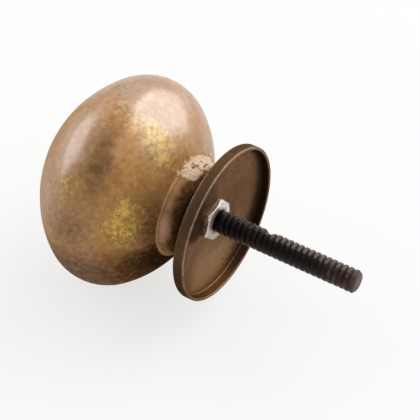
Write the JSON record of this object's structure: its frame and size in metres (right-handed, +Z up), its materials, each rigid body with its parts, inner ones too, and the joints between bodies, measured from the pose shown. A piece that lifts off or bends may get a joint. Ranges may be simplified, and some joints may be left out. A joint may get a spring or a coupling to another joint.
{
  "type": "cabinet knob",
  "caption": "Round cabinet knob: a flattened ball head on a waisted neck, a dished backplate behind it, and a threaded stud with a lock nut for fixing through a cabinet front.",
  "frame": {"origin": "where the stud's axis crosses the cabinet front, in the plane of the backplate's free edge", "axes": "+Z up, +Y along the stud into the cabinet, so the head stands out towards -Y"},
  "size_m": [0.038, 0.0593, 0.038],
  "materials": {
    "head_bronze": "aged brown brass, rubbed golden in patches",
    "plate_bronze": "dark brown aged brass with bright rubbed edges",
    "nut_zinc": "dull zinc-plated steel, speckled",
    "stud_black": "blackened steel, brown where it is handled"
  },
  "bodies": {
    "root": {"knob_head": "head_bronze", "backplate": "plate_bronze", "lock_nut": "nut_zinc", "threaded_stud": "stud_black"}
  },
  "joints": []
}
